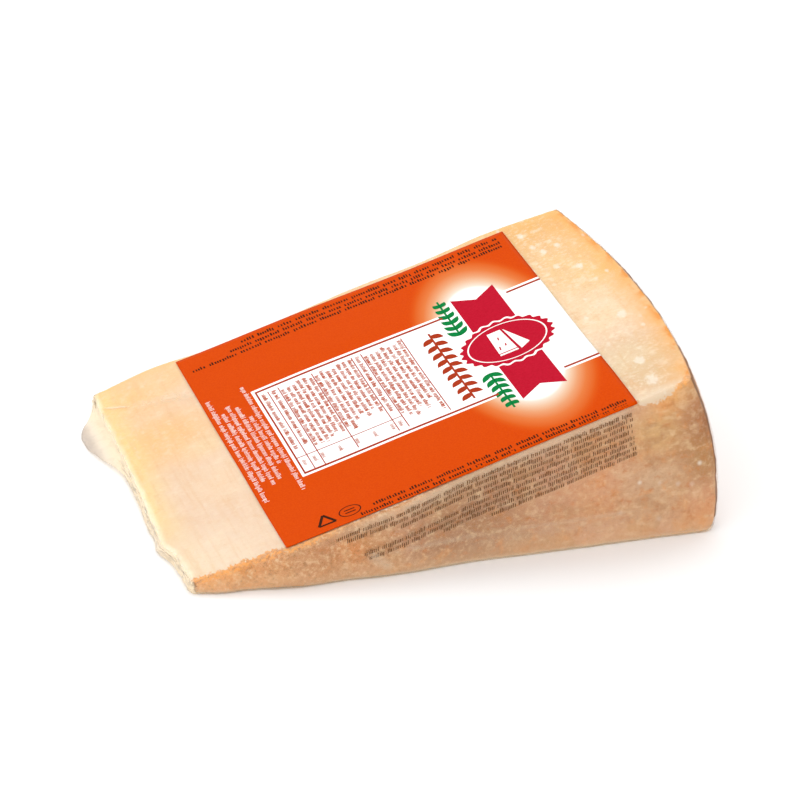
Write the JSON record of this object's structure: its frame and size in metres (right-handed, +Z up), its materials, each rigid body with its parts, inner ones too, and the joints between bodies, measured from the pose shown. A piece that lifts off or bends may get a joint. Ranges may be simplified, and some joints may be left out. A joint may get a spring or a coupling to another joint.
{
  "type": "parmesan chunk",
  "caption": "Wedge of hard grating cheese in a clear shrink film, lying on its cut face, with a printed label across the sloping top.",
  "frame": {"origin": "on the floor under the middle of the wrapped chunk", "axes": "+X from the thin edge to the rind, +Y from the front to the back along the wheel's axis, +Z up"},
  "size_m": [0.199, 0.1666, 0.0598],
  "materials": {
    "cheese_in_film": "pale straw paste with a tan rind under clear, slightly wrinkled film",
    "label": "semi-gloss orange print with white panels"
  },
  "bodies": {
    "root": {"wrapped_chunk": "cheese_in_film", "label": "label"}
  },
  "joints": []
}
